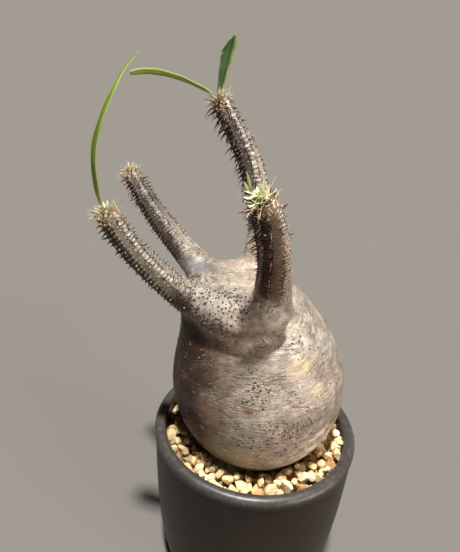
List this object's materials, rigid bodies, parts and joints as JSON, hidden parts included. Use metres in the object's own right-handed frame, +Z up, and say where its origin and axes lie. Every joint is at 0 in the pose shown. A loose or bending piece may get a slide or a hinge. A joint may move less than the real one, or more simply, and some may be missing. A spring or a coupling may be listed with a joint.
{
  "type": "potted pachypodium gracilius",
  "caption": "Potted pachypodium gracilius: a swollen silver-grey caudex with thorny upright arms and a few narrow leaves, in pumice in a dark round-lipped pot.",
  "frame": {"origin": "middle of the pot's flat base, on the surface that it stands on", "axes": "+Z up, longest extent; -Y towards the viewer of the picture; +X to the right as seen from there"},
  "size_m": [0.1172, 0.0918, 0.2336],
  "materials": {
    "pot": "satin",
    "net": "matte",
    "soil": "matte",
    "pumice": "matte",
    "bark": "satin",
    "young_leaf": "satin",
    "leaf": "satin"
  },
  "bodies": {
    "root": {"pot": "pot", "drain_net": "net", "soil": "soil", "pumice": "pumice", "caudex": "bark", "tuft_front_left": "young_leaf", "tuft_back_left": "young_leaf", "tuft_back_right": "young_leaf", "tuft_front_right": "young_leaf", "leaf_front_left": "leaf", "leaf_back_right_arched": "leaf", "leaf_back_right_upright": "leaf"}
  },
  "joints": []
}
